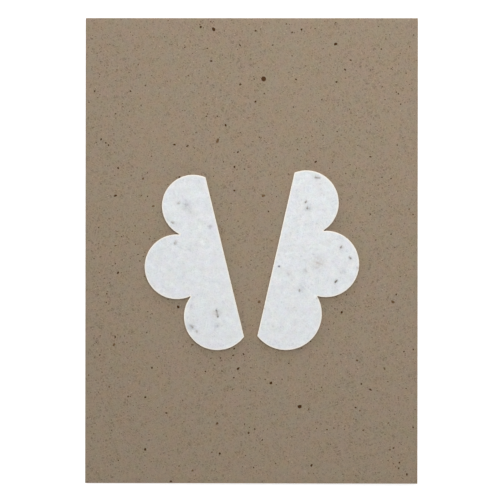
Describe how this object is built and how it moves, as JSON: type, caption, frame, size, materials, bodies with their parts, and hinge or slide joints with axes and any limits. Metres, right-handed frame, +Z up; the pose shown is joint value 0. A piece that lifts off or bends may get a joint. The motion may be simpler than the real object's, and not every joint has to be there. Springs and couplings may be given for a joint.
{
  "type": "seed paper butterfly card",
  "caption": "Folded speckled kraft greeting card with a butterfly on its front, made of die-cut seed paper wings held on by thin sticky pads.",
  "frame": {"origin": "under the middle of the back leaf, on the surface that the card lies on", "axes": "+X from the fold to the open edge, +Y to the top of the front, +Z up out of the front"},
  "size_m": [0.127, 0.1778, 0.0034],
  "materials": {
    "kraft_card": "matte",
    "seed_paper": "matte",
    "seed": "matte",
    "sticky_pad": "matte"
  },
  "bodies": {
    "root": {"card": "kraft_card", "left_wing": "seed_paper", "right_wing": "seed_paper", "left_wing_seeds": "seed", "right_wing_seeds": "seed", "left_wing_pads": "sticky_pad", "right_wing_pads": "sticky_pad"}
  },
  "joints": []
}
